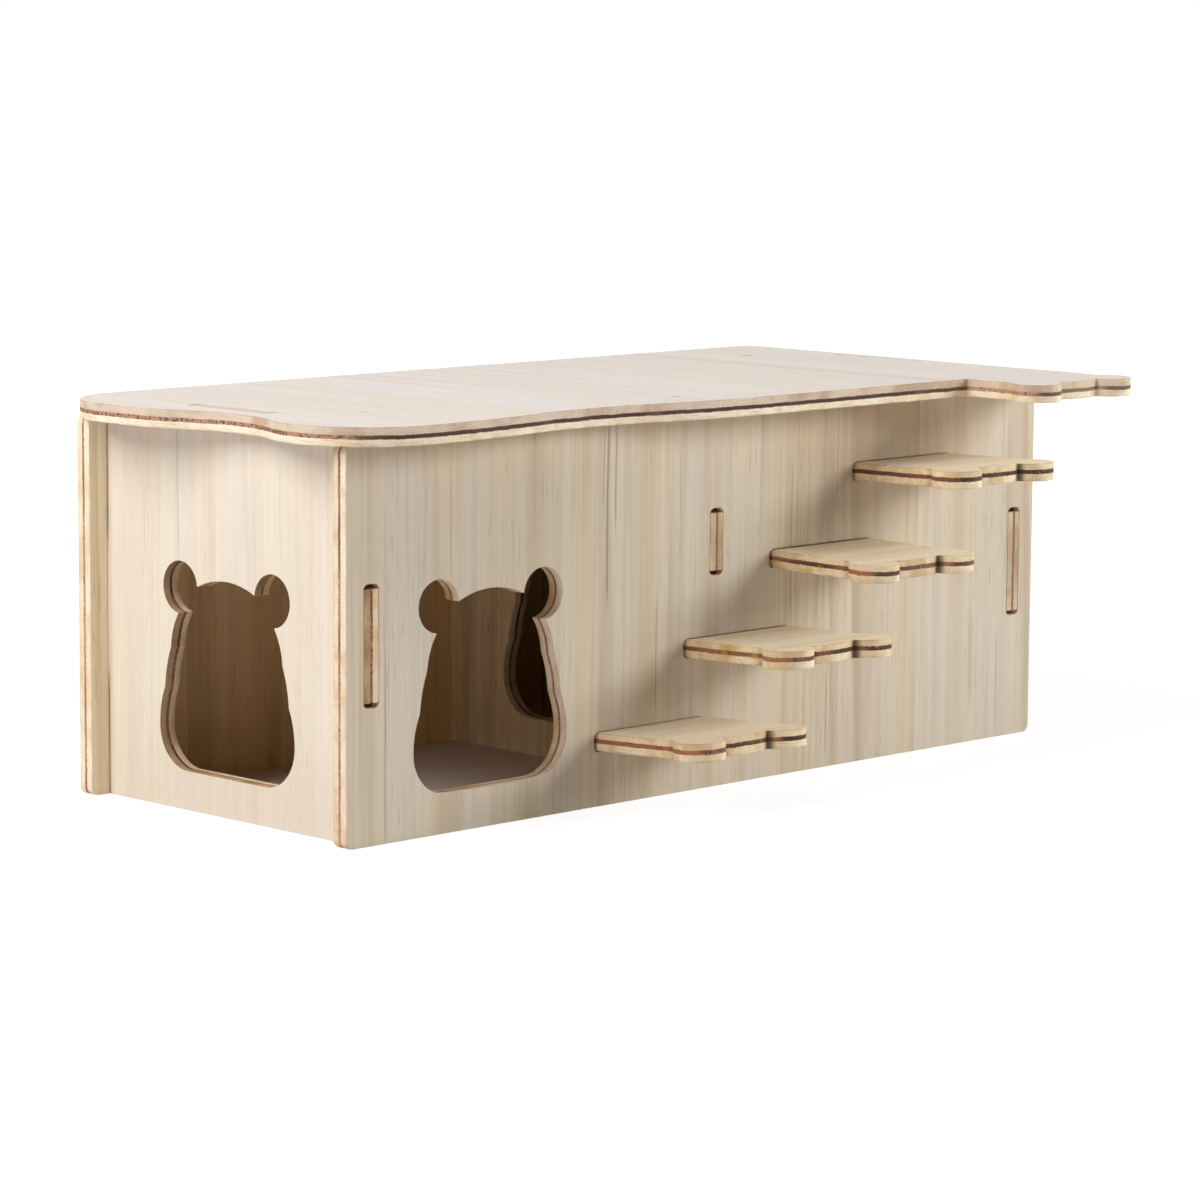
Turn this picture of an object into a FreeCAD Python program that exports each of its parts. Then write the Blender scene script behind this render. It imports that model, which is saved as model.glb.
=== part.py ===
import FreeCAD, Part
import math
import os
import Sketcher

# A plywood hamster house, in millimetres. Front and back run the full length, and the two end
# panels and the partition stand between them on tenons. Four steps push into slots in the front,
# and the roof, whose front right lobe is the top step, lifts off two tenons of the end panels.
# +X runs along the front from left to right, +Y from front to back and +Z up. The origin is the
# middle of the partition's bottom edge, which is the middle of the walls' footprint.
sizes = {
    # Board and walls
    "board": 5.6,
    "wall_length": 300.0,
    "house_depth": 121.0,
    "wall_rise": 114.8,
    "wall_corner": 2.5,
    "end_inset": 6.6,
    # Slots and tenons
    "side_play": 0.12,
    "end_play": 1.5,
    "slot_corner": 1.8,
    "end_tenon": 32.5,
    "roof_tenon": 32.5,
    "partition_tenon": 17.6,
    "partition_tenon_mid": 75.5,
    # Doorway: half widths, and the rises above its sill at which they are met
    "door_from_left": 56.1,
    "door_sill": 11.7,
    "door_foot": 17.7,
    "door_foot_corner": 12.8,
    "lower_waist": 28.0,
    "lower_waist_rise": 24.3,
    "upper_waist": 25.2,
    "upper_waist_rise": 36.4,
    "ear_root": 21.5,
    "ear_root_rise": 46.9,
    "ear_radius": 7.8,
    "ear_span": 1.09,
    "dome_radius": 31.6,
    "lower_wave": 26.0,
    "middle_wave": 38.0,
    "upper_wave": 20.0,
    # Steps: reaches run out from the front's outer face, and a lean is the share that a step
    # takes of the tip that its slot's play allows, with its nose up
    "step_width": 44.0,
    "step_side_radius": 170.0,
    "step_root_inset": 0.5,
    "step_root_reach": 31.0,
    "step_ear_radius": 7.75,
    "step_ear_inward": 1.5,
    "step_ear_outward": 1.1,
    "step_dome_radius": 36.0,
    "first_step_left": 99.7,
    "first_step_top": 22.3,
    "last_rise": 25.1,
    "step_play": 0.2,
    "step_tail_gap": 0.3,
    "step_1_lean": 0.69,
    "step_2_lean": 0.39,
    "step_3_lean": -0.22,
    "step_4_lean": 0.22,
    # Roof: how far its edges stand out from the walls, or in at the right, and where its waves
    # crest along the front
    "roof_right_inset": 5.3,
    "roof_back_reach": 3.1,
    "roof_back_corner": 6.0,
    "roof_left_reach": 6.9,
    "roof_left_swell": 8.8,
    "roof_left_dip": -0.3,
    "roof_left_corner": 24.0,
    "roof_left_flat": 10.0,
    "roof_front_corner": 27.0,
    "roof_front_reach": 12.7,
    "roof_front_dip": 6.0,
    "roof_front_dip_at": 90.0,
    "roof_front_swell": 13.0,
    "roof_front_swell_at": 155.0,
    "roof_dip_share": 0.43,
}
step_count = 4


class Size:
    # A number that remembers the sheet expression it was worked out from.
    def __init__(self, value, text):
        self.value = value
        self.text = text

    def __add__(self, other):
        other = as_size(other)
        return Size(self.value + other.value, f"({self.text} + {other.text})")

    def __sub__(self, other):
        other = as_size(other)
        return Size(self.value - other.value, f"({self.text} - {other.text})")

    def __mul__(self, other):
        other = as_size(other)
        return Size(self.value * other.value, f"({self.text} * {other.text})")

    def __truediv__(self, other):
        other = as_size(other)
        return Size(self.value / other.value, f"({self.text} / {other.text})")

    def __neg__(self):
        return as_size(0) - self


def as_size(number):
    if isinstance(number, Size):
        return number
    return Size(float(number), repr(float(number)))


def fill_sheet(document):
    # One row for each driving size: its name in column A and its value in column B.
    sheet = document.addObject("Spreadsheet::Sheet", "Sizes")
    for row, (name, value) in enumerate(sizes.items(), start=1):
        sheet.set(f"A{row}", name)
        sheet.set(f"B{row}", str(value))
        sheet.setAlias(f"B{row}", name)
    document.recompute()


def sheet_size(name):
    return Size(sizes[name], f"Sizes.{name}")


doc = FreeCAD.newDocument("hamster_house")
fill_sheet(doc)

board = sheet_size("board")
wall_length = sheet_size("wall_length")
house_depth = sheet_size("house_depth")
wall_rise = sheet_size("wall_rise")
side_play = sheet_size("side_play")
end_play = sheet_size("end_play")
step_width = sheet_size("step_width")
front_face = -house_depth / 2
left_end = -wall_length / 2
roof_right = wall_length - sheet_size("roof_right_inset")
lobe_left = roof_right - step_width
end_panel_mid = sheet_size("end_inset") + board / 2
partition_tenon_mid = sheet_size("partition_tenon_mid")
step_run = (lobe_left - sheet_size("first_step_left")) / step_count
step_rise_run = wall_rise + board - sheet_size("last_rise") - sheet_size("first_step_top")
step_rise = step_rise_run / (step_count - 1)


# Outlines: each corner is (x, y, bend), and the bend shapes the edge that leaves it.


class Bend:
    # An arc that turns left or right, and is wide when it is over half a circle.
    def __init__(self, radius, left=True, wide=False):
        self.radius = radius
        self.left = left
        self.wide = wide


def mirrored(half, top_bend=None, closing_bend=None):
    # The half outline goes up the right side, and its mirror image about x = 0 comes down again.
    corners = list(half[:-1])
    top_x, top_y, _ = half[-1]
    corners.append((top_x, top_y, top_bend))
    bends = [bend for _, _, bend in half[:-1]]
    bends.insert(0, closing_bend)
    for (x, y, _), bend in zip(reversed(half), reversed(bends)):
        corners.append((-as_size(x), y, bend))
    return corners


def rounded_rectangle(mid_x, mid_y, width, height, radius):
    right = mid_x + width / 2
    left = mid_x - width / 2
    top = mid_y + height / 2
    bottom = mid_y - height / 2
    corner = Bend(radius)
    return [
        (left + radius, bottom, None),
        (right - radius, bottom, corner),
        (right, bottom + radius, None),
        (right, top - radius, corner),
        (right - radius, top, None),
        (left + radius, top, corner),
        (left, top - radius, None),
        (left, bottom + radius, corner),
    ]


def arc_between(start, end, bend):
    # The centre lies on the chord's bisector, at the depth that the radius leaves.
    chord = end - start
    depth = math.sqrt(bend.radius.value ** 2 - chord.Length ** 2 / 4)
    across = FreeCAD.Vector(-chord.y, chord.x, 0).normalize()
    side = 1 if bend.left != bend.wide else -1
    centre = (start + end) / 2 + across * depth * side
    first, last = (start, end) if bend.left else (end, start)
    first_angle = math.atan2(first.y - centre.y, first.x - centre.x)
    last_angle = math.atan2(last.y - centre.y, last.x - centre.x)
    circle = Part.Circle(centre, FreeCAD.Vector(0, 0, 1), bend.radius.value)
    return Part.ArcOfCircle(circle, first_angle, last_angle)


def draw_outline(sketch, corners):
    # Every corner is held by its distances from the sketch's origin, and every arc by its radius.
    corners = [(as_size(x), as_size(y), bend) for x, y, bend in corners]
    points = [FreeCAD.Vector(x.value, y.value, 0) for x, y, _ in corners]
    edges = []
    for start, end, (_, _, bend) in zip(points, points[1:] + points[:1], corners):
        if bend is None:
            edges.append((sketch.addGeometry(Part.LineSegment(start, end)), 1, 2))
        elif bend.left:
            edges.append((sketch.addGeometry(arc_between(start, end, bend)), 1, 2))
        else:
            edges.append((sketch.addGeometry(arc_between(start, end, bend)), 2, 1))
    for (edge, _, edge_end), (after, after_start, _) in zip(edges, edges[1:] + edges[:1]):
        sketch.addConstraint(Sketcher.Constraint("Coincident", edge, edge_end, after, after_start))
    for (edge, edge_start, _), (x, y, bend) in zip(edges, corners):
        hold(sketch, Sketcher.Constraint("DistanceX", -1, 1, edge, edge_start, x.value), x)
        hold(sketch, Sketcher.Constraint("DistanceY", -1, 1, edge, edge_start, y.value), y)
        if bend is not None:
            radius = Sketcher.Constraint("Radius", edge, bend.radius.value)
            hold(sketch, radius, bend.radius)


def hold(sketch, constraint, size):
    index = sketch.addConstraint(constraint)
    sketch.setExpression(f"Constraints[{index}]", size.text)


# Features shared by every piece


def new_body(name, x, y, z):
    body = doc.addObject("PartDesign::Body", name)
    body.Label = name
    place(body, "Placement.Base", x, y, z)
    return body


def place(thing, path, x, y, z):
    for axis, size in zip("xyz", (x, y, z)):
        thing.setExpression(f"{path}.{axis}", as_size(size).text)


def tip_up(body, slope):
    # Turns the body about the X direction, so that a positive slope lifts what lies towards -Y.
    body.Placement.Rotation = FreeCAD.Rotation(FreeCAD.Vector(-1, 0, 0), 1)
    body.setExpression("Placement.Rotation.Angle", f"atan({slope.text})")


def new_sketch(body, name, plane, outlines, origin_x=0, origin_y=0, lift=0):
    sketch = body.newObject("Sketcher::SketchObject", f"{body.Name}_{name}")
    planes = [item for item in body.Origin.OriginFeatures if item.Role == plane]
    sketch.AttachmentSupport = [(planes[0], "")]
    sketch.MapMode = "FlatFace"
    place(sketch, "AttachmentOffset.Base", origin_x, origin_y, lift)
    for corners in outlines:
        draw_outline(sketch, corners)
    return sketch


def pad_board(body, plane, corners, lift=0):
    # A blank is one board thick. On the upright plane along X the pad is turned to face +Y.
    pad = body.newObject("PartDesign::Pad", f"{body.Name}_blank")
    pad.Profile = new_sketch(body, "outline", plane, [corners], lift=lift)
    pad.setExpression("Length", board.text)
    pad.Reversed = plane == "XZ_Plane"
    doc.recompute()


def cut_through(body, name, plane, outlines, origin_x=0, origin_y=0):
    # The pocket runs the way the pad went, and it has to take volume away.
    before = body.Shape.Volume
    pocket = body.newObject("PartDesign::Pocket", f"{body.Name}_{name}")
    pocket.Profile = new_sketch(body, f"{name}_outline", plane, outlines, origin_x, origin_y)
    pocket.Type = "ThroughAll"
    pocket.Reversed = plane != "XZ_Plane"
    doc.recompute()
    if not body.Shape.Volume < before:
        raise RuntimeError(f"{pocket.Name} cuts nothing")


# Doorway, slots and steps' outlines


def doorway():
    # Two round ears and a low dome over a body that widens in three shallow waves to its foot.
    foot = sheet_size("door_foot")
    foot_corner = sheet_size("door_foot_corner")
    ear_root = sheet_size("ear_root")
    ear_root_rise = sheet_size("ear_root_rise")
    ear_radius = sheet_size("ear_radius")
    ear_span = ear_radius * sheet_size("ear_span")
    half = [
        (foot, 0, Bend(foot_corner)),
        (foot + foot_corner, foot_corner, Bend(sheet_size("lower_wave"))),
        (sheet_size("lower_waist"), sheet_size("lower_waist_rise"), Bend(sheet_size("middle_wave"))),
        (sheet_size("upper_waist"), sheet_size("upper_waist_rise"), Bend(sheet_size("upper_wave"))),
        (ear_root, ear_root_rise, Bend(ear_radius, wide=True)),
        (ear_root - ear_span, ear_root_rise + ear_span, None),
    ]
    return mirrored(half, top_bend=Bend(sheet_size("dome_radius")))


def tenon_slot(mid_x, mid_y, tenon, upright=True, play=side_play):
    # A slot clears its tenon by the play across the board and by the end play along it.
    across = board + play * 2
    along = tenon + end_play * 2
    width, height = (across, along) if upright else (along, across)
    return rounded_rectangle(mid_x, mid_y, width, height, sheet_size("slot_corner"))


def upright_slots():
    # The end panels' tenons sit at half the wall's rise, and the partition's is higher.
    end_tenon = sheet_size("end_tenon")
    return [
        tenon_slot(end_panel_mid, wall_rise / 2, end_tenon),
        tenon_slot(wall_length - end_panel_mid, wall_rise / 2, end_tenon),
        tenon_slot(wall_length / 2, partition_tenon_mid, sheet_size("partition_tenon")),
    ]


def step_mid(number):
    return sheet_size("first_step_left") + step_width / 2 + step_run * number


def step_top(number):
    return sheet_size("first_step_top") + step_rise * number


def step_slope(number):
    # Play above and below lets a board of this thickness tip by their sum over its thickness.
    steepest = sheet_size("step_play") * 2 / board
    return steepest * sheet_size(f"step_{number + 1}_lean")


def step_slots():
    # These are looser than the tenons' slots, so that a step can stand a little out of level.
    play = sheet_size("step_play")
    slots = []
    for number in range(step_count):
        level = step_top(number) - board / 2
        slots.append(tenon_slot(step_mid(number), level, step_width, upright=False, play=play))
    return slots


def scalloped_nose(left, right, wall_face=0):
    # From the left ear's root round both ears to the right ear's root, out towards -Y.
    radius = sheet_size("step_ear_radius")
    root_inset = sheet_size("step_root_inset")
    brow_inset = root_inset + radius * sheet_size("step_ear_inward")
    root_level = -sheet_size("step_root_reach") + wall_face
    brow_level = root_level - radius * sheet_size("step_ear_outward")
    ear = Bend(radius, wide=True)
    return [
        (left + root_inset, root_level, ear),
        (left + brow_inset, brow_level, Bend(sheet_size("step_dome_radius"))),
        (right - brow_inset, brow_level, ear),
        (right - root_inset, root_level, Bend(sheet_size("step_side_radius"))),
    ]


# Pieces


def wall_blank(name, y):
    body = new_body(name, left_end, y, 0)
    corner = sheet_size("wall_corner")
    middle = (wall_length / 2, wall_rise / 2)
    pad_board(body, "XZ_Plane", rounded_rectangle(*middle, wall_length, wall_rise, corner))
    cut_through(body, "tenon_slots", "XZ_Plane", upright_slots())
    return body


def make_front_panel():
    body = wall_blank("front_panel", front_face)
    cut_through(body, "step_slots", "XZ_Plane", step_slots())
    door_place = (sheet_size("door_from_left"), sheet_size("door_sill"))
    cut_through(body, "doorway", "XZ_Plane", [doorway()], *door_place)


def make_back_panel():
    wall_blank("back_panel", house_depth / 2 - board)


def make_cross_panel(name, x, tenon, tenon_mid, roof_tenon=None, door=True):
    # A panel between front and back. Its tenons end flush with the outer faces of the walls.
    body = new_body(name, x, 0, 0)
    inside = house_depth / 2 - board
    outside = house_depth / 2
    half = [
        (inside, 0, None),
        (inside, tenon_mid - tenon / 2, None),
        (outside, tenon_mid - tenon / 2, None),
        (outside, tenon_mid + tenon / 2, None),
        (inside, tenon_mid + tenon / 2, None),
        (inside, wall_rise, None),
    ]
    if roof_tenon is not None:
        half.append((roof_tenon / 2, wall_rise, None))
        half.append((roof_tenon / 2, wall_rise + board, None))
    pad_board(body, "YZ_Plane", mirrored(half))
    if door:
        cut_through(body, "doorway", "YZ_Plane", [doorway()], 0, sheet_size("door_sill"))


def make_end_panels():
    end_tenon = sheet_size("end_tenon")
    roof_tenon = sheet_size("roof_tenon")
    left_x = left_end + end_panel_mid - board / 2
    right_x = -left_end - end_panel_mid - board / 2
    make_cross_panel("left_end_panel", left_x, end_tenon, wall_rise / 2, roof_tenon)
    make_cross_panel("right_end_panel", right_x, end_tenon, wall_rise / 2, roof_tenon, door=False)


def make_partition():
    tenon = sheet_size("partition_tenon")
    make_cross_panel("partition", -board / 2, tenon, partition_tenon_mid)


def make_steps():
    # Each step's own frame has its origin in the middle of its slot, about which it tips. Its tail
    # stops short of the front's inner face, clear of the partition that stands there.
    half_width = step_width / 2
    half_board = board / 2
    tail = half_board - sheet_size("step_tail_gap")
    outline = [
        (-half_width, tail, None),
        (-half_width, -half_board, Bend(sheet_size("step_side_radius"))),
        *scalloped_nose(-half_width, half_width, -half_board),
        (half_width, -half_board, None),
        (half_width, tail, None),
    ]
    for number in range(step_count):
        slot_middle = left_end + step_mid(number), front_face + half_board
        body = new_body(f"step_{number + 1}", *slot_middle, step_top(number) - half_board)
        tip_up(body, step_slope(number))
        pad_board(body, "XY_Plane", outline, lift=-half_board)


def radii_sum(run, swing):
    # Two arcs that meet in tangency, level at points run apart and swing across, share this.
    return (run * run + swing * swing) / (swing * 2)


def wave(start, end, start_radius, end_radius):
    # The point where two such arcs meet: it divides the line of their centres by their radii.
    share = start_radius / (start_radius + end_radius)
    along = start[0] + (end[0] - start[0]) * share
    across = start[1] + (end[1] - start[1]) * share
    return along, across


def front_edge():
    # From the front left corner: a swell, a dip and a second swell that runs on level.
    first_at = sheet_size("roof_front_corner") - sheet_size("roof_left_reach")
    dip_at = sheet_size("roof_front_dip_at")
    last_at = sheet_size("roof_front_swell_at")
    first = sheet_size("roof_front_reach")
    dip = sheet_size("roof_front_dip")
    last = sheet_size("roof_front_swell")
    last_sum = radii_sum(last_at - dip_at, last - dip)
    dip_radius = last_sum * sheet_size("roof_dip_share")
    first_radius = radii_sum(dip_at - first_at, first - dip) - dip_radius
    last_radius = last_sum - dip_radius
    down_x, down_reach = wave((first_at, first), (dip_at, dip), first_radius, dip_radius)
    up_x, up_reach = wave((dip_at, dip), (last_at, last), dip_radius, last_radius)
    return [
        (first_at, -first, Bend(first_radius)),
        (down_x, -down_reach, Bend(dip_radius, left=False)),
        (up_x, -up_reach, Bend(last_radius)),
        (last_at, -last, None),
        (lobe_left, -last, None),
    ]


def left_edge(back):
    # From the back left corner forward: a flat, a swell, a dip and the front corner's swell.
    corner = sheet_size("roof_left_corner")
    swell = sheet_size("roof_left_swell")
    dip = sheet_size("roof_left_dip")
    reach = sheet_size("roof_left_reach")
    share = sheet_size("roof_dip_share")
    front_at = sheet_size("roof_front_corner") - sheet_size("roof_front_reach")
    swell_at = back - corner - sheet_size("roof_left_flat")
    dip_at = front_at + (swell_at - front_at) * share
    swell_sum = radii_sum(swell_at - dip_at, swell - dip)
    dip_radius = swell_sum * share
    swell_radius = swell_sum - dip_radius
    front_radius = radii_sum(dip_at - front_at, reach - dip) - dip_radius
    in_y, in_reach = wave((swell_at, swell), (dip_at, dip), swell_radius, dip_radius)
    out_y, out_reach = wave((dip_at, dip), (front_at, reach), dip_radius, front_radius)
    return [
        (corner - swell, back, Bend(corner)),
        (-swell, back - corner, None),
        (-swell, swell_at, Bend(swell_radius)),
        (-in_reach, in_y, Bend(dip_radius, left=False)),
        (-out_reach, out_y, Bend(front_radius)),
        (-reach, front_at, Bend(sheet_size("roof_front_corner"))),
    ]


def make_roof_panel():
    # Measured from the left end and the outer face of the front, like the walls' own features.
    body = new_body("roof_panel", left_end, front_face, wall_rise)
    back = house_depth + sheet_size("roof_back_reach")
    back_corner = sheet_size("roof_back_corner")
    outline = [
        *front_edge(),
        *scalloped_nose(lobe_left, roof_right),
        (roof_right, 0, None),
        (roof_right, back - back_corner, Bend(back_corner)),
        (roof_right - back_corner, back, None),
        *left_edge(back),
    ]
    pad_board(body, "XY_Plane", outline)
    roof_tenon = sheet_size("roof_tenon")
    slots = [
        tenon_slot(end_panel_mid, house_depth / 2, roof_tenon),
        tenon_slot(wall_length - end_panel_mid, house_depth / 2, roof_tenon),
    ]
    cut_through(body, "tenon_slots", "XY_Plane", slots)


def check_model():
    # A feature that failed, or a piece that is no valid single solid, stops the build.
    for item in doc.Objects:
        if "Invalid" in item.State or "Error" in item.State:
            raise RuntimeError(f"{item.Name} failed: {item.State}")
    for body in doc.findObjects("PartDesign::Body"):
        shape = body.Shape
        if shape.isNull() or not shape.isValid() or len(shape.Solids) != 1:
            raise RuntimeError(f"{body.Label} is not one valid solid")


def write_pieces():
    os.makedirs("parts", exist_ok=True)
    for body in doc.findObjects("PartDesign::Body"):
        body.Shape.exportStep(f"parts/{body.Label}.step")
        box = body.Shape.BoundBox
        spans = f"{box.XLength:.1f} x {box.YLength:.1f} x {box.ZLength:.1f}"
        print(f"{body.Label}: {spans} mm, {body.Shape.Volume / 1000:.2f} cm3")


make_front_panel()
make_back_panel()
make_end_panels()
make_partition()
make_steps()
make_roof_panel()
doc.recompute()
check_model()
write_pieces()
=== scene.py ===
import bpy
import math
import numpy as np
from mathutils import Matrix, Vector


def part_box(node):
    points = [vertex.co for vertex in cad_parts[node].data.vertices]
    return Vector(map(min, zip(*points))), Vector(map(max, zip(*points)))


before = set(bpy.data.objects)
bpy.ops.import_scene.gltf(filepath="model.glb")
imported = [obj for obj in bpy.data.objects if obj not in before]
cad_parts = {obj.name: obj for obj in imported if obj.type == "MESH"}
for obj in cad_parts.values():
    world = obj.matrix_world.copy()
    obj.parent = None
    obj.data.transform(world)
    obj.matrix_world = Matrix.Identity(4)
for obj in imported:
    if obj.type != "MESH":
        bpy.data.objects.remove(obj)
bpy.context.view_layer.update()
print("frame loaded:", len(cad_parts), "boards")

mm = 0.001
alongX = (1, 0, 0)
alongY = (0, 1, 0)
upright = (0, 0, 1)


screenCurve = {"white": 255, "darkest": 0.04045, "slope": 12.92, "offset": 0.055, "power": 2.4}


def lightOf(*levels):
    # A colour as it looks on a screen turned into light by the screen's own curve: a straight
    # line for the darkest shades, and a power of the shade above them.
    offset = screenCurve["offset"]
    light = []
    for level in levels:
        share = level / screenCurve["white"]
        if share <= screenCurve["darkest"]:
            light.append(share / screenCurve["slope"])
        else:
            light.append(((share + offset) / (1 + offset)) ** screenCurve["power"])
    return (*light, 1.0)


# Small tools for node trees. A value is a number, or another node's output.

def plug(tree, socket, value):
    if isinstance(value, bpy.types.NodeSocket):
        tree.links.new(value, socket)
    else:
        socket.default_value = value


def addNode(tree, kind, inputs=None, **options):
    # options are set first, because some of them change which inputs a node has
    made = tree.nodes.new(kind)
    for name, value in options.items():
        setattr(made, name, value)
    for name, value in (inputs or {}).items():
        plug(tree, made.inputs[name], value)
    return made


def maths(tree, operation, *values):
    return addNode(tree, "ShaderNodeMath", dict(enumerate(values)), operation=operation).outputs[0]


def times(tree, *values):
    # the product of all the values
    product = values[0]
    for value in values[1:]:
        product = maths(tree, "MULTIPLY", product, value)
    return product


def vectorMaths(tree, operation, *values):
    return addNode(tree, "ShaderNodeVectorMath", dict(enumerate(values)), operation=operation)


def dotWith(tree, vector, direction):
    # how far a vector goes along a direction
    return vectorMaths(tree, "DOT_PRODUCT", vector, tuple(direction)).outputs["Value"]


def mixColours(tree, share, first, second, blend="MIX"):
    # the first colour where the share is nothing, and the second where it is one
    node = addNode(tree, "ShaderNodeMix", data_type="RGBA", blend_type=blend)
    for number, value in ((0, share), (6, first), (7, second)):
        plug(tree, node.inputs[number], value)
    return node.outputs[2]


def mixValues(tree, share, first, second):
    inputs = {0: share, 2: first, 3: second}
    return addNode(tree, "ShaderNodeMix", inputs, data_type="FLOAT").outputs[0]


def between(tree, value, low, high, start=0.0, end=1.0):
    # start up to low, end from high on, and a smooth S curve in the middle
    inputs = {"Value": value, "From Min": low, "From Max": high, "To Min": start, "To Max": end}
    curve = addNode(tree, "ShaderNodeMapRange", inputs, interpolation_type="SMOOTHSTEP")
    return curve.outputs["Result"]


def window(tree, value, low, high, soft):
    # one from low to high, and nothing outside, with soft edges
    rise = between(tree, value, low - soft, low + soft)
    fall = between(tree, value, high - soft, high + soft, 1.0, 0.0)
    return times(tree, rise, fall)


def noiseAt(tree, vector, detail, roughness):
    inputs = {"Vector": vector, "Scale": 1.0, "Detail": detail, "Roughness": roughness}
    return addNode(tree, "ShaderNodeTexNoise", inputs).outputs["Fac"]


def pointOf(tree, x, y, z):
    return addNode(tree, "ShaderNodeCombineXYZ", {0: x, 1: y, 2: z}).outputs[0]


# Boards

# places in mm: faces of the boards, middles of the end panels' thickness, and the tenons' heights
frontFace = -60.5
backInnerFace = 54.9
leftEndFace = -143.4
leftEndMiddle = -140.6
rightEndMiddle = 140.6
roofTop = 120.4
endTenonHeight = 57.4
partitionTenonHeight = 75.5


def boardFacts(node, grain):
    # The direction through a board is the one that most of its surface faces: the largest
    # eigenvector of the sum of area times normal times normal. So a leaning step is found too.
    mesh = node.data
    count = len(mesh.polygons)
    normals = np.empty(count * 3)
    areas = np.empty(count)
    mesh.polygons.foreach_get("normal", normals)
    mesh.polygons.foreach_get("area", areas)
    normals = normals.reshape(-1, 3)
    through = np.linalg.eigh((normals * areas[:, None]).T @ normals)[1][:, -1]
    through = through * np.sign(through[np.argmax(np.abs(through))])
    points = np.empty(len(mesh.vertices) * 3)
    mesh.vertices.foreach_get("co", points)
    depths = points.reshape(-1, 3) @ through
    along = np.array(grain, float)
    along = along - (along @ through) * through
    along = along / np.linalg.norm(along)
    return {
        "through": through,
        "along": along,
        "across": np.cross(through, along),
        "low": depths.min(),
        "thickness": depths.max() - depths.min(),
    }


# For each layer of noise: features to the metre, a shift to a place of its own in the noise, and,
# where it has them, the levels of the noise between which the layer comes in.

veneer = {
    # scales along and across the grain
    "bend": {"scale": (6.0, 9.0), "shift": 3.1, "detail": 1.0},
    "bands": {"scale": (1.5, 42.0), "shift": 0.0, "roughness": 0.6, "shown": (0.36, 0.64)},
    "olive": {"scale": (1.5, 42.0), "shift": 17.0, "detail": 1.0, "shown": (0.5, 0.72)},
    "streaks": {"scale": (4.0, 210.0), "shift": 11.3, "roughness": 0.6, "shown": (0.42, 0.72)},
    "threads": {"scale": (9.0, 620.0), "shift": 19.3, "roughness": 0.6, "shown": (0.52, 0.72)},
    "rings": {"scale": (1.0, 24.0), "shift": 23.7, "detail": 1.0},
    "ringPatches": {"scale": (9.0, 60.0), "shift": 31.1, "detail": 1.0, "shown": (0.4, 0.66)},
    "drift": {"scale": (6.0, 9.0), "shift": 53.3, "roughness": 0.6},
    "fibres": {"scale": (34.0, 1700.0), "shift": 5.3},
    "dashes": {"scale": (120.0, 1150.0), "shift": 61.7, "detail": 0.0, "shown": (0.66, 0.8)},
    "dashPatches": {"scale": (9.0, 60.0), "shift": 71.9, "detail": 1.0, "shown": (0.38, 0.6)},
}
veneerShape = {
    "bendBy": 5.0 * mm,
    "ringCount": 9.0,
    "ringRise": (0.45, 0.95),     # shares of one ring
    "ringFall": (0.965, 1.0),
    "lineMiddle": 0.15,           # share of a line's half width that is fully dark
    "lineFade": 6.0,              # mm at a line's ends
    "innerStep": (0.45, 0.55),    # shares of the thickness between which the inner side begins
    "fibreRelief": 0.5,
    "dashRelief": 0.6,
}

rim = {
    "wander": {"scale": 140.0, "shift": 1.7},
    "ragged": {"scale": 1500.0, "shift": 2.9},
    "relief": {"scale": 900.0, "shift": 3.3, "stretch": 2.0},
    "gloom": {"scale": 48.0, "shift": 4.3},
    "specks": {"scale": 1700.0, "shift": 5.9, "detail": 1.0, "shown": (0.55, 0.7)},
    "dots": {"scale": 1100.0, "shift": 6.1, "detail": 1.0, "shown": (0.5, 0.62)},
    "blotches": {"scale": 85.0, "shift": 7.1, "detail": 3.0, "shown": (0.4, 0.66)},
    "glints": {"scale": 1300.0, "shift": 8.3, "detail": 1.0, "shown": (0.62, 0.72)},
    "burns": {"scale": 26.0, "shift": 8.9, "detail": 3.0, "shown": (0.54, 0.74)},
    "strands": {"scale": 150.0, "shift": 9.3, "detail": 3.0, "stretch": 14.0, "shown": (0.5, 0.68)},
    "yellow": {"scale": 95.0, "shift": 13.7, "detail": 1.0, "shown": (0.66, 0.76)},
    "arris": {"scale": 240.0, "shift": 15.1, "shown": (0.3, 0.6)},
}
rimShape = {
    "roughness": 0.55,            # of the noise
    "soft": 0.022,                # the rest are shares of the thickness, or of a tint
    "arris": 0.1,
    "specks": 0.25,
    "gloomSpread": 3.2,
    "dots": (0.8, 0.2),           # beside the grain, and at its ends
    "glints": (0.45, 0.05),
}

surface = {
    "face": (0.75, 0.92),         # how straight a surface looks through the board to count as face
    "endGrain": (0.5, 0.85),      # and along the grain to count as its end
    "rimRoughness": 0.8,
    "roughnessSpread": 0.16,
    "bumpStrength": 0.6,
    "specular": 0.3,
    "markMiddle": 0.25,           # share of a mark's reach that has its full strength
}


def noiseLayer(tree, point, settings, plainRoughness=0.5):
    # the noise at a point, or its share from nothing to one between the levels shown
    roughness = settings.get("roughness", plainRoughness)
    noise = noiseAt(tree, point, settings.get("detail", 2.0), roughness)
    return between(tree, noise, *settings["shown"]) if "shown" in settings else noise


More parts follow.
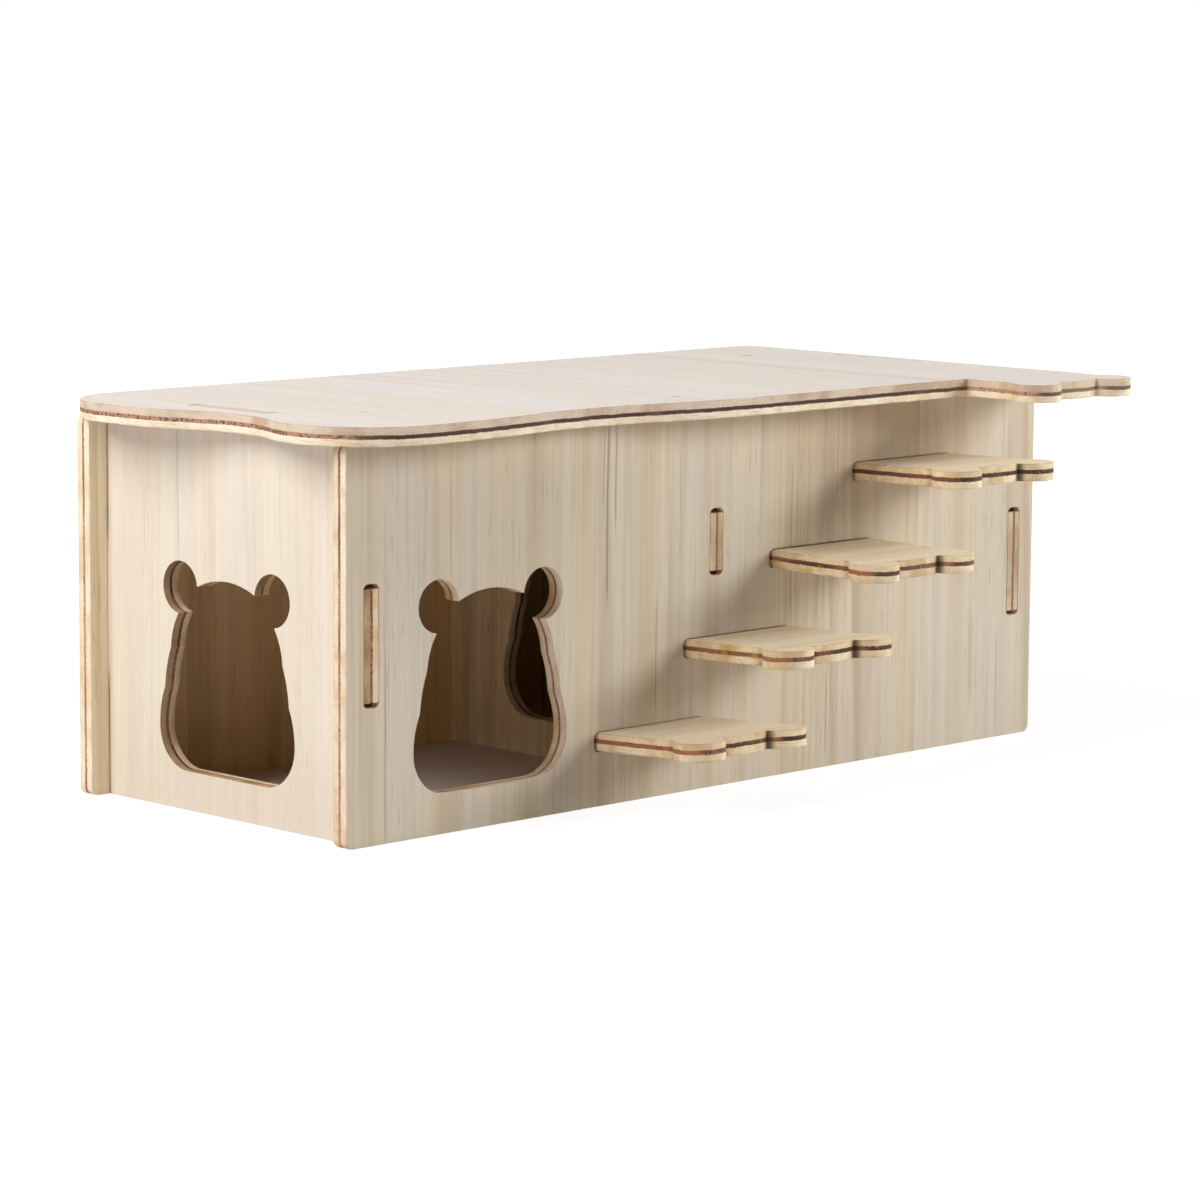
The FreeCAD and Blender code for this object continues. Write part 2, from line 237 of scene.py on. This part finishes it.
def growthLines(tree, along, across, lines, drift):
    # Each line is darkest where its distance across the grain is least, that distance being
    # measured to a path that drifts with the noise, and it fades at both ends.
    total = 0.0
    for at, start, end, width, sway, depth in lines:
        path = maths(tree, "MULTIPLY_ADD", drift, sway * mm, at * mm)
        gap = maths(tree, "ABSOLUTE", maths(tree, "SUBTRACT", across, path))
        middle = veneerShape["lineMiddle"] * width * mm
        core = between(tree, gap, middle, width * mm, depth, 0.0)
        length = window(tree, along, start * mm, end * mm, veneerShape["lineFade"] * mm)
        total = maths(tree, "MAXIMUM", total, times(tree, core, length))
    return total


def faceGrain(tree, along, across, depth, look):
    # Layers of noise stretched along the grain, from broad bands to fine fibres. Each is mixed
    # into the colour below it by the layer times its own depth.
    def layer(name, sideways=across):
        alongScale, acrossScale = veneer[name]["scale"]
        point = pointOf(tree, times(tree, along, alongScale), times(tree, sideways, acrossScale),
                        look["seed"] + veneer[name]["shift"])
        return noiseLayer(tree, point, veneer[name])

    bend = maths(tree, "SUBTRACT", layer("bend"), 0.5)
    bent = maths(tree, "MULTIPLY_ADD", bend, veneerShape["bendBy"], across)
    colour = mixColours(tree, layer("bands", bent), look["cool"], look["warm"])
    for name, share, tint in (("olive", "oliveDepth", "olive"),
                              ("streaks", "streakDepth", "streak"),
                              ("threads", "threadDepth", "streak")):
        colour = mixColours(tree, times(tree, layer(name, bent), look[share]), colour, look[tint])
    # a ring darkens slowly towards its end and stops short, as late wood does
    phase = maths(tree, "FRACT", times(tree, layer("rings", bent), veneerShape["ringCount"]))
    rise = between(tree, phase, *veneerShape["ringRise"])
    ring = times(tree, rise, between(tree, phase, *veneerShape["ringFall"], 1.0, 0.0))
    ring = times(tree, ring, layer("ringPatches"), look["ringDepth"])
    colour = mixColours(tree, ring, colour, look["ring"])
    if look["lines"]:
        drift = maths(tree, "SUBTRACT", layer("drift"), 0.5)
        lines = growthLines(tree, along, across, look["lines"], drift)
        colour = mixColours(tree, lines, colour, look["ring"])
    if look["seams"]:
        seams = growthLines(tree, along, across, look["seams"], 0.0)
        colour = mixColours(tree, seams, colour, look["seam"])
    fibres = layer("fibres")
    dashes = times(tree, layer("dashes"), layer("dashPatches"))
    colour = mixColours(tree, times(tree, dashes, look["dashDepth"]), colour, look["ring"])
    centred = maths(tree, "SUBTRACT", fibres, 0.5)
    shade = maths(tree, "MULTIPLY_ADD", centred, look["fibreDepth"], 1.0)
    colour = mixColours(tree, 1.0, colour, pointOf(tree, shade, shade, shade), "MULTIPLY")
    if look["innerSide"] is not None:
        # the face turned to the rooms is made darker and warmer: painted shade inside the rooms
        side = look["innerSide"]
        inner = between(tree, depth, *veneerShape["innerStep"], 1.0 - side, side)
        half = look["roomHalf"] * mm
        inner = times(tree, inner, window(tree, across, -half, half, mm))
        colour = mixColours(tree, inner, colour, look["inner"], "MULTIPLY")
    height = maths(tree, "SUBTRACT", times(tree, fibres, veneerShape["fibreRelief"]),
                   times(tree, dashes, veneerShape["dashRelief"]))
    return colour, height


def rimLayers(tree, along, across, deep, depth, endGrain, look):
    # Three plies: two thick pale ones and a thin dark core between them, whose edges wander.
    # Where the face's grain ends, the core runs solid, and where it passes, the core is dotted.
    def around(name):
        # noise around the rim, squeezed through the board so that it lies in the plies' direction
        layer = rim[name]
        scale = layer["scale"]
        through = maths(tree, "MULTIPLY_ADD", deep, scale * layer.get("stretch", 1.0),
                        look["seed"] + layer["shift"])
        point = pointOf(tree, times(tree, along, scale), times(tree, across, scale), through)
        return noiseLayer(tree, point, layer, rimShape["roughness"])

    def centred(name, reach):
        # the noise on both sides of nothing, times its reach
        return times(tree, maths(tree, "SUBTRACT", around(name), 0.5), reach)

    wander = maths(tree, "ADD", centred("wander", look["coreWander"]),
                   centred("ragged", look["coreWander"]))
    level = maths(tree, "ADD", depth, wander)
    soft = rimShape["soft"]
    start, end = look["coreStart"], look["coreEnd"]
    blotches = around("blotches")
    low = mixColours(tree, blotches, look["lowPale"], look["lowTan"])
    high = mixColours(tree, blotches, look["highPale"], look["highTan"])
    ply = mixColours(tree, between(tree, level, start - soft, end + soft), low, high)
    strands = times(tree, around("strands"), look["strandDepth"])
    ply = mixColours(tree, strands, ply, look["highTan"])
    specks = times(tree, around("specks"), endGrain, rimShape["specks"])
    ply = mixColours(tree, specks, ply, look["scorch"])
    ply = mixColours(tree, times(tree, around("yellow"), look["yellowDepth"]), ply, look["yellow"])
    edgeLow = between(tree, depth, 0.0, rimShape["arris"], 1.0, 0.0)
    edgeHigh = between(tree, depth, 1.0 - rimShape["arris"], 1.0)
    arris = times(tree, maths(tree, "MAXIMUM", edgeLow, edgeHigh), look["arrisDepth"])
    ply = mixColours(tree, times(tree, arris, around("arris")), ply, look["scorch"])
    gloom = mixValues(tree, endGrain, look["coreDarkBeside"], look["coreDarkAtEnds"])
    gloom = maths(tree, "ADD", gloom, centred("gloom", rimShape["gloomSpread"]))
    core = mixColours(tree, between(tree, gloom, 0.0, 1.0), look["coreRed"], look["coreDark"])
    for name, tint in (("dots", "coreDark"), ("glints", "highTan")):
        share = times(tree, around(name), mixValues(tree, endGrain, *rimShape[name]))
        core = mixColours(tree, share, core, look[tint])
    inCore = window(tree, level, start, end, soft)
    colour = mixColours(tree, inCore, ply, core)
    burnt = times(tree, around("burns"), look["scorchDepth"])
    colour = mixColours(tree, burnt, colour, look["scorch"])
    height = maths(tree, "SUBTRACT", around("relief"), inCore)
    return colour, height


def withMarks(tree, place, colour, marks):
    # Each mark is an oval cloud round its own point, and fades towards its reach: stains and dark
    # joints, and also patches of painted shade and painted light.
    for at, reach, tint, depth in marks:
        offset = vectorMaths(tree, "SUBTRACT", place, tuple(c * mm for c in at)).outputs[0]
        offset = vectorMaths(tree, "DIVIDE", offset, tuple(c * mm for c in reach)).outputs[0]
        far = vectorMaths(tree, "LENGTH", offset).outputs["Value"]
        share = between(tree, far, surface["markMiddle"], 1.0, depth, 0.0)
        colour = mixColours(tree, share, colour, tint)
    return colour


def plywood(name, facts, look):
    # Face and rim are told apart by how straight the surface looks through the board, and the
    # depth in the board is the distance along that direction over the thickness.
    material = bpy.data.materials.new(name)
    material.use_nodes = True
    tree = material.node_tree
    tree.nodes.clear()
    coordinates = addNode(tree, "ShaderNodeTexCoord")
    place = coordinates.outputs["Object"]
    facing = coordinates.outputs["Normal"]

    def looksAlong(direction, levels):
        return between(tree, maths(tree, "ABSOLUTE", dotWith(tree, facing, direction)), *levels)

    along = dotWith(tree, place, facts["along"])
    across = dotWith(tree, place, facts["across"])
    deep = maths(tree, "SUBTRACT", dotWith(tree, place, facts["through"]), facts["low"])
    depth = maths(tree, "DIVIDE", deep, facts["thickness"])
    onFace = looksAlong(facts["through"], surface["face"])
    endGrain = looksAlong(facts["along"], surface["endGrain"])
    faceColour, faceHeight = faceGrain(tree, along, across, depth, look)
    faceColour = withMarks(tree, place, faceColour, look["faceMarks"])
    rimColour, rimHeight = rimLayers(tree, along, across, deep, depth, endGrain, look)
    rimColour = withMarks(tree, place, rimColour, look["rimMarks"])
    bump = addNode(tree, "ShaderNodeBump", {
        "Height": mixValues(tree, onFace, rimHeight, faceHeight),
        "Distance": look["relief"] * mm,
        "Strength": surface["bumpStrength"],
    })
    spread = surface["roughnessSpread"]
    faceRough = maths(tree, "MULTIPLY_ADD", faceHeight, spread, look["roughness"])
    shader = addNode(tree, "ShaderNodeBsdfPrincipled", {
        "Base Color": mixColours(tree, onFace, rimColour, faceColour),
        "Roughness": mixValues(tree, onFace, surface["rimRoughness"], faceRough),
        "Normal": bump.outputs[0],
        "Specular IOR Level": surface["specular"],
    })
    output = addNode(tree, "ShaderNodeOutputMaterial")
    tree.links.new(shader.outputs[0], output.inputs["Surface"])
    return material


plainBoard = {
    "grain": upright,
    "seed": 0.0,
    "cool": lightOf(212, 201, 184),           # the face's two main tones, and those over them
    "warm": lightOf(214, 199, 172),
    "olive": lightOf(200, 184, 150),
    "oliveDepth": 0.35,
    "streak": lightOf(184, 165, 138),
    "streakDepth": 0.4,
    "threadDepth": 0.35,
    "ring": lightOf(146, 116, 86),
    "ringDepth": 0.3,
    "lines": [],                  # across, from, to, half width, sway in mm, and depth
    "seams": [],                  # the same for dark joints beside the board
    "seam": lightOf(96, 70, 46),
    "fibreDepth": 0.14,
    "dashDepth": 0.28,
    "innerSide": None,            # 0 or 1 where one face is turned to the rooms
    "inner": (1.0, 0.86, 0.66, 1.0),          # times the face's colour there, as painted shade in the rooms
    "roomHalf": 140.0,            # mm across the grain that a room reaches from the middle
    "lowPale": lightOf(238, 222, 192),        # the plies of the rim on the low and high side
    "lowTan": lightOf(222, 194, 152),
    "highPale": lightOf(236, 216, 182),
    "highTan": lightOf(212, 180, 138),
    "strandDepth": 0.4,
    "coreStart": 0.43,            # shares of the board's thickness
    "coreEnd": 0.6,
    "coreWander": 0.09,
    "coreRed": lightOf(164, 110, 82),
    "coreDark": lightOf(74, 50, 38),
    "coreDarkBeside": 0.4,        # how dark the core is where the face's grain passes the rim
    "coreDarkAtEnds": 0.4,        # and where it ends there
    "scorch": lightOf(150, 106, 72),
    "scorchDepth": 0.2,
    "arrisDepth": 0.4,
    "yellow": lightOf(214, 172, 84),
    "yellowDepth": 0.6,
    "faceMarks": [],              # stains, dark joints and patches of painted shade and painted light: place and reach in mm, tint and depth
    "rimMarks": [],
    "relief": 0.12,               # mm
    "roughness": 0.5,
    "bevel": 0.15,                # mm taken off the arrises by sanding
}

sanding = {
    "weld": 0.001,                # mm within which points are one
    "flatAngle": 0.2,             # degrees between faces that are one flat face
    "arrisAngle": 50,             # degrees from which an edge is an arris
    "segments": 2,
}


def softenArris(node, width):
    # flat faces become whole again first, so that only real arrises are taken off
    weld = node.modifiers.new("weld", "WELD")
    weld.merge_threshold = sanding["weld"] * mm
    flat = node.modifiers.new("flat", "DECIMATE")
    flat.decimate_type = "DISSOLVE"
    flat.angle_limit = math.radians(sanding["flatAngle"])
    bevel = node.modifiers.new("arris", "BEVEL")
    bevel.width = width * mm
    bevel.segments = sanding["segments"]
    bevel.limit_method = "ANGLE"
    bevel.angle_limit = math.radians(sanding["arrisAngle"])
    bevel.use_clamp_overlap = False


def finishBoard(name, changes):
    # a board's own plywood over the plain one, and then its sanded arrises
    look = dict(plainBoard, **changes)
    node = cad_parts[name]
    facts = boardFacts(node, look["grain"])
    node.data.materials.clear()
    node.data.materials.append(plywood(name + "Plywood", facts, look))
    softenArris(node, look["bevel"])


burnAndShadeBrown = lightOf(70, 42, 26)
knotBrown = lightOf(150, 112, 84)
mustard = lightOf(206, 160, 70)

frontPanel = {
    "seed": 1.0,
    "innerSide": 1,
    "dashDepth": 0.22,
    "lowPale": lightOf(240, 225, 204),
    "lowTan": lightOf(226, 200, 170),
    "highPale": lightOf(238, 220, 194),
    "coreRed": lightOf(188, 140, 114),
    "coreDark": lightOf(126, 90, 70),
    "faceMarks": [
        # a greyer left top, painted shadow as a brown cloud under the roof left of step 4, and
        # painted light as a pale right foot
        ((-105, frontFace, 92), (80, 8, 60), lightOf(172, 157, 139), 0.28),
        ((66, frontFace, 99), (58, 8, 24), lightOf(170, 138, 100), 0.32),
        ((112, frontFace, 20), (70, 8, 55), lightOf(236, 226, 212), 0.22),
    ],
    "lines": [
        (-47.5, 62, 114, 0.7, 9, 0.7),
        (-44.5, 84, 114, 0.5, 12, 0.55),
        (-49.0, 90, 114, 0.4, 7, 0.5),
        (-61.0, 85, 112, 0.4, 5, 0.35),
        (-110.0, 74, 104, 0.5, 8, 0.35),
        (-135.0, 2, 56, 0.5, 4, 0.45),
        (-26.5, 24, 60, 0.5, 5, 0.5),
        (33.5, 48, 96, 0.6, 6, 0.5),
        (36.0, 44, 94, 0.4, 6, 0.4),
        (54.5, 82, 112, 0.5, 4, 0.4),
        (50.5, 4, 30, 0.6, 4, 0.5),
        (88.5, 76, 100, 0.4, 5, 0.35),
        (120.0, 14, 42, 1.6, 6, 0.35),
        (133.0, 1, 34, 0.5, 4, 0.55),
    ],
}
finishBoard("front_panel", frontPanel)

backPanel = {
    "seed": 12.0,
    "innerSide": 0,
    # paler than the other boards: painted light on a board that stands in the shade of the roof and
    # the end panels
    "cool": lightOf(248, 232, 203),
    "warm": lightOf(247, 229, 193),
    "olive": lightOf(228, 204, 160),
    "streak": lightOf(212, 186, 148),
    "lowPale": lightOf(250, 234, 206),
    "highPale": lightOf(248, 230, 200),
    "lowTan": lightOf(236, 212, 178),
    "highTan": lightOf(232, 206, 170),
    "coreRed": lightOf(200, 156, 126),
    "coreDark": lightOf(140, 98, 74),
    "scorchDepth": 0.1,
}
finishBoard("back_panel", backPanel)

leftEndPanel = {
    "seed": 27.0,
    "innerSide": 1,
    "cool": lightOf(231, 221, 207),
    "warm": lightOf(234, 223, 203),
    "olive": lightOf(229, 215, 190),
    "streak": lightOf(216, 199, 176),
    "streakDepth": 0.3,
    "threadDepth": 0.25,
    "ring": lightOf(186, 150, 122),
    "ringDepth": 0.16,
    "dashDepth": 0.16,
    "lowPale": lightOf(186, 156, 122),
    "lowTan": lightOf(146, 114, 84),
    "highPale": lightOf(232, 210, 180),
    # painted shade: the face is darker along its foot, near the floor
    "faceMarks": [((leftEndFace, 0, 4), (9, 90, 34), lightOf(206, 190, 172), 0.25)],
    "seams": [
        # the joint with the back panel, above and below the tenon
        (-backInnerFace, 77, 125, 1.0, 0, 0.9),
        (-backInnerFace, -10, 37, 1.0, 0, 0.9),
    ],
    "rimMarks": [((leftEndMiddle, 0, roofTop), (12, 70, 9), lightOf(222, 206, 190), 0.85)],
    "lines": [
        (-21.0, 76, 114, 0.4, 6, 0.5),
        (-37.0, 74, 96, 0.4, 5, 0.3),
        (25.0, 80, 104, 0.3, 5, 0.25),
    ],
}
finishBoard("left_end_panel", leftEndPanel)

rightEndPanel = {
    "seed": 35.0,
    "innerSide": 0,
    "rimMarks": [
        # the tenon ends in the roof and in the front
        ((rightEndMiddle, 0, roofTop), (14, 60, 5), lightOf(226, 216, 206), 0.95),
        ((rightEndMiddle, frontFace, endTenonHeight), (7, 7, 30), lightOf(146, 118, 98), 0.5),
    ],
}
finishBoard("right_end_panel", rightEndPanel)

partition = {
    "seed": 44.0,
    # paler than the other boards: painted light on a board that stands in the rooms' shade
    "cool": lightOf(243, 222, 188),
    "warm": lightOf(243, 220, 178),
    "olive": lightOf(228, 202, 156),
    "rimMarks": [
        ((0, frontFace, partitionTenonHeight), (7, 7, 16), lightOf(146, 116, 96), 0.5),
    ],
}
finishBoard("partition", partition)


# The steps

stepPlan = {
    "notch": (9.9, -39.5),        # mm from the step's middle and from the front's outer face
    "earRoot": (21.5, -31.0),
    "notchReach": (2.9, 2.9, 12.0),
    "notchDepths": ((-1, 0.4), (1, 0.8)),     # at the left and at the right, the right one deeper with painted shade
    "earRootDepth": 0.35,
    "stainRise": 0.8,             # reach of the other stains upwards, as a share of their reach
    "jointReach": (70, 1.0, 10),
    "jointDepth": 0.75,
}


def stepMarks(name, stains):
    # brown marks in the notches between the lobes, where the cut burnt the wood, with painted shade
    # in these hollows
    low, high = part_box(name)
    middle = (low.x + high.x) / 2 / mm
    height = (low.z + high.z) / 2 / mm
    marks = []
    for side, notchDepth in stepPlan["notchDepths"]:
        for (x, y), depth in ((stepPlan["notch"], notchDepth),
                              (stepPlan["earRoot"], stepPlan["earRootDepth"])):
            at = (middle + side * x, frontFace + y, height)
            marks.append((at, stepPlan["notchReach"], burnAndShadeBrown, depth))
    for x, y, z, reach, tint, depth in stains:
        at = (middle + x, frontFace + y, height + z)
        marks.append((at, (reach, reach, reach * stepPlan["stainRise"]), tint, depth))
    return marks


def wallJoint(name):
    # the thin dark joint on a step's top, where it goes into the wall
    low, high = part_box(name)
    at = ((low.x + high.x) / 2 / mm, frontFace, high.z / mm)
    return [(at, stepPlan["jointReach"], burnAndShadeBrown, stepPlan["jointDepth"])]


plainStep = {
    "grain": alongX,
    "cool": lightOf(233, 219, 196),
    "warm": lightOf(233, 214, 182),
    "olive": lightOf(226, 204, 164),
    "streakDepth": 0.25,
    "threadDepth": 0.25,
    "ringDepth": 0.15,
    "coreStart": 0.41,
    "coreEnd": 0.65,
    "coreDarkBeside": 0.8,
    "coreDarkAtEnds": 0.25,
    "lowPale": lightOf(249, 232, 200),
    "highPale": lightOf(240, 218, 182),
    "scorchDepth": 0.25,
}
steps = {
    # stains: from the step's middle, the wall and the middle height in mm, reach, tint and depth
    "step_1": {
        "seed": 51.0,
        "coreRed": lightOf(172, 106, 82),
        "stains": [(-22, -28, -1, 2.5, mustard, 0.55)],
    },
    "step_2": {
        "seed": 58.0,
        "stains": [(-22, -16, 0, 2, mustard, 0.5), (-22, -28, 0, 2, mustard, 0.5)],
    },
    "step_3": {
        "seed": 63.0,
        "stains": [(-22, -20, -1, 2.5, mustard, 0.4)],
    },
    "step_4": {
        "seed": 71.0,
        "coreRed": lightOf(120, 80, 62),
        "stains": [],
    },
}
for stepName, changes in steps.items():
    changes = dict(plainStep, **changes)
    changes["rimMarks"] = stepMarks(stepName, changes.pop("stains"))
    changes["faceMarks"] = wallJoint(stepName)
    finishBoard(stepName, changes)

roofPanel = {
    "grain": alongY,
    "seed": 83.0,
    "innerSide": 0,
    "cool": lightOf(232, 224, 220),
    "warm": lightOf(232, 221, 209),
    "olive": lightOf(222, 208, 188),
    "streak": lightOf(210, 194, 176),
    "streakDepth": 0.22,
    "threadDepth": 0.18,
    "ring": lightOf(180, 156, 134),
    "ringDepth": 0.1,
    "dashDepth": 0.12,
    "coreStart": 0.37,
    "coreEnd": 0.58,
    # the lobe's rim is yellower than the rest
    "rimMarks": [((125, -84, 119), (44, 40, 9), lightOf(232, 204, 156), 0.3)],
    "coreDarkBeside": 0.1,
    "coreDarkAtEnds": 1.1,
    "highPale": lightOf(221, 202, 182),
    "highTan": lightOf(195, 167, 143),
    "coreRed": lightOf(184, 138, 114),
    "lowPale": lightOf(250, 238, 214),
    "lowTan": lightOf(240, 216, 176),
    "roughness": 0.74,            # duller than the rest, so that no light flares on it
    "faceMarks": [
        ((112.6, 33.9, roofTop), (1.6, 3.4, 3), knotBrown, 0.7),
        ((-118.7, -32.4, roofTop), (1.2, 2.4, 3), knotBrown, 0.6),
        ((-14.7, -56.6, roofTop), (1.4, 2.6, 3), knotBrown, 0.6),
    ],
}
finishBoard("roof_panel", roofPanel)
print("plywood done")


# Camera, as the photograph was taken: a long lens, a little above the roof

camera = {
    "place": (-0.94472, -0.96137, 0.23842),   # metres
    "turn": 0.782090,                          # radians from +Y towards +X
    "dip": 0.137875,
    "roll": 0.00697,
    "lens": 129.70,                            # mm
    "sensor": 36.0,                            # mm
    "clip": (0.05, 50.0),                      # metres
}


def makeCamera():
    # turned by its roll first, then up from straight down to its dip, then round to its heading
    data = bpy.data.cameras.new("camera")
    data.lens = camera["lens"]
    data.sensor_width = camera["sensor"]
    data.clip_start, data.clip_end = camera["clip"]
    made = bpy.data.objects.new("camera", data)
    bpy.context.scene.collection.objects.link(made)
    turn = Matrix.Rotation(-camera["turn"], 4, "Z")
    dip = Matrix.Rotation(math.pi / 2 - camera["dip"], 4, "X")
    roll = Matrix.Rotation(camera["roll"], 4, "Z")
    made.matrix_world = Matrix.Translation(camera["place"]) @ turn @ dip @ roll
    bpy.context.scene.camera = made


makeCamera()


# Studio: soft boxes at both sides, and a pale floor that the house shades

softBoxes = {
    # place, size in metres, power in watts, colour
    "leftHighBox": ((-1.2, 0.1, 1.1), 1.0, 22.0, (1.0, 0.99, 0.98)),
    "leftLowBox": ((-1.6, -0.25, 0.35), 1.0, 2.6, (1.0, 0.95, 0.9)),
    "rightFrontBox": ((1.2, -1.2, 0.7), 0.7, 22.0, (0.94, 0.98, 1.0)),
    "rightLowBox": ((1.5, -0.8, 0.3), 0.9, 7.2, (1.0, 0.88, 0.75)),
    "backTopBox": ((0.0, 1.1, 1.2), 1.0, 5.5, (1.0, 0.98, 0.97)),
}


def addSoftBox(name, place, size, power, colour):
    # a square light that looks from its place at the house
    data = bpy.data.lights.new(name, "AREA")
    data.size = size
    data.energy = power
    data.color = colour
    box = bpy.data.objects.new(name, data)
    bpy.context.scene.collection.objects.link(box)
    box.location = place
    box.rotation_euler = (-Vector(place)).to_track_quat("-Z", "Y").to_euler()


for name, settings in softBoxes.items():
    addSoftBox(name, *settings)

studio = {
    "ambient": (1.0, 0.99, 0.98, 1.0),
    "ambientStrength": 0.02,
    "white": (1.0, 1.0, 1.0, 1.0),
    "floorHalfSize": 20.0,
    "floorColour": lightOf(224, 220, 220),
    # darker than the floor outside: painted shade under the house
    "floorInside": lightOf(212, 198, 190),
    "underWalls": 0.002,          # metres that the inside floor runs under the walls
    "shadowShare": 0.3,           # how much of the real shading shows beside the house
    "floorWhite": 0.86,           # the floor's own white near the house
    "shadowReach": (0.25, 0.7),   # metres from the middle over which it fades to plain white
}


def makeWorld():
    # plain white where it is looked at or mirrored, and a weak soft light everywhere else
    world = bpy.data.worlds.new("studio")
    bpy.context.scene.world = world
    world.use_nodes = True
    tree = world.node_tree
    tree.nodes.clear()
    rays = addNode(tree, "ShaderNodeLightPath")
    sees = maths(tree, "MAXIMUM", rays.outputs["Is Camera Ray"], rays.outputs["Is Glossy Ray"])
    sees = maths(tree, "MAXIMUM", sees, rays.outputs["Is Transmission Ray"])
    soft = addNode(tree, "ShaderNodeBackground",
                   {"Color": studio["ambient"], "Strength": studio["ambientStrength"]})
    white = addNode(tree, "ShaderNodeBackground", {"Color": studio["white"], "Strength": 1.0})
    mixed = addNode(tree, "ShaderNodeMixShader", {0: sees, 1: soft.outputs[0], 2: white.outputs[0]})
    output = addNode(tree, "ShaderNodeOutputWorld")
    tree.links.new(mixed.outputs[0], output.inputs["Surface"])


def makeFloor():
    # Beside the house the floor shows a share of its real shading on a white that grows with the
    # distance, and inside the house it shows as it is lit, on a darker colour that is painted
    # shade.
    half = studio["floorHalfSize"]
    mesh = bpy.data.meshes.new("floor")
    corners = [(-half, -half, 0), (half, -half, 0), (half, half, 0), (-half, half, 0)]
    mesh.from_pydata(corners, [], [(0, 1, 2, 3)])
    floor = bpy.data.objects.new("floor", mesh)
    bpy.context.scene.collection.objects.link(floor)
    material = bpy.data.materials.new("paleFloor")
    material.use_nodes = True
    tree = material.node_tree
    tree.nodes.clear()
    place = addNode(tree, "ShaderNodeTexCoord").outputs["Object"]
    parts = addNode(tree, "ShaderNodeSeparateXYZ", {0: place})
    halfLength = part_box("right_end_panel")[0].x + studio["underWalls"]
    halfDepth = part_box("back_panel")[0].y + studio["underWalls"]
    insideX = maths(tree, "LESS_THAN", maths(tree, "ABSOLUTE", parts.outputs[0]), halfLength)
    insideY = maths(tree, "LESS_THAN", maths(tree, "ABSOLUTE", parts.outputs[1]), halfDepth)
    inside = times(tree, insideX, insideY)
    distance = vectorMaths(tree, "LENGTH", place).outputs["Value"]
    near, far = studio["shadowReach"]
    white = between(tree, distance, near, far, studio["floorWhite"], 1.0)
    white = times(tree, white, maths(tree, "SUBTRACT", 1.0, inside))
    seen = addNode(tree, "ShaderNodeLightPath").outputs["Is Camera Ray"]
    share = mixValues(tree, seen, 1.0, mixValues(tree, inside, studio["shadowShare"], 1.0))
    ground = mixColours(tree, inside, studio["floorColour"], studio["floorInside"])
    ground = mixColours(tree, 1.0, ground, pointOf(tree, share, share, share), "MULTIPLY")
    diffuse = addNode(tree, "ShaderNodeBsdfDiffuse", {"Color": ground})
    glow = addNode(tree, "ShaderNodeEmission",
                   {"Color": studio["white"], "Strength": times(tree, white, seen)})
    added = addNode(tree, "ShaderNodeAddShader", {0: diffuse.outputs[0], 1: glow.outputs[0]})
    output = addNode(tree, "ShaderNodeOutputMaterial")
    tree.links.new(added.outputs[0], output.inputs["Surface"])
    mesh.materials.append(material)


makeWorld()
makeFloor()
bpy.context.scene.view_settings.view_transform = "Standard"
print("studio done")
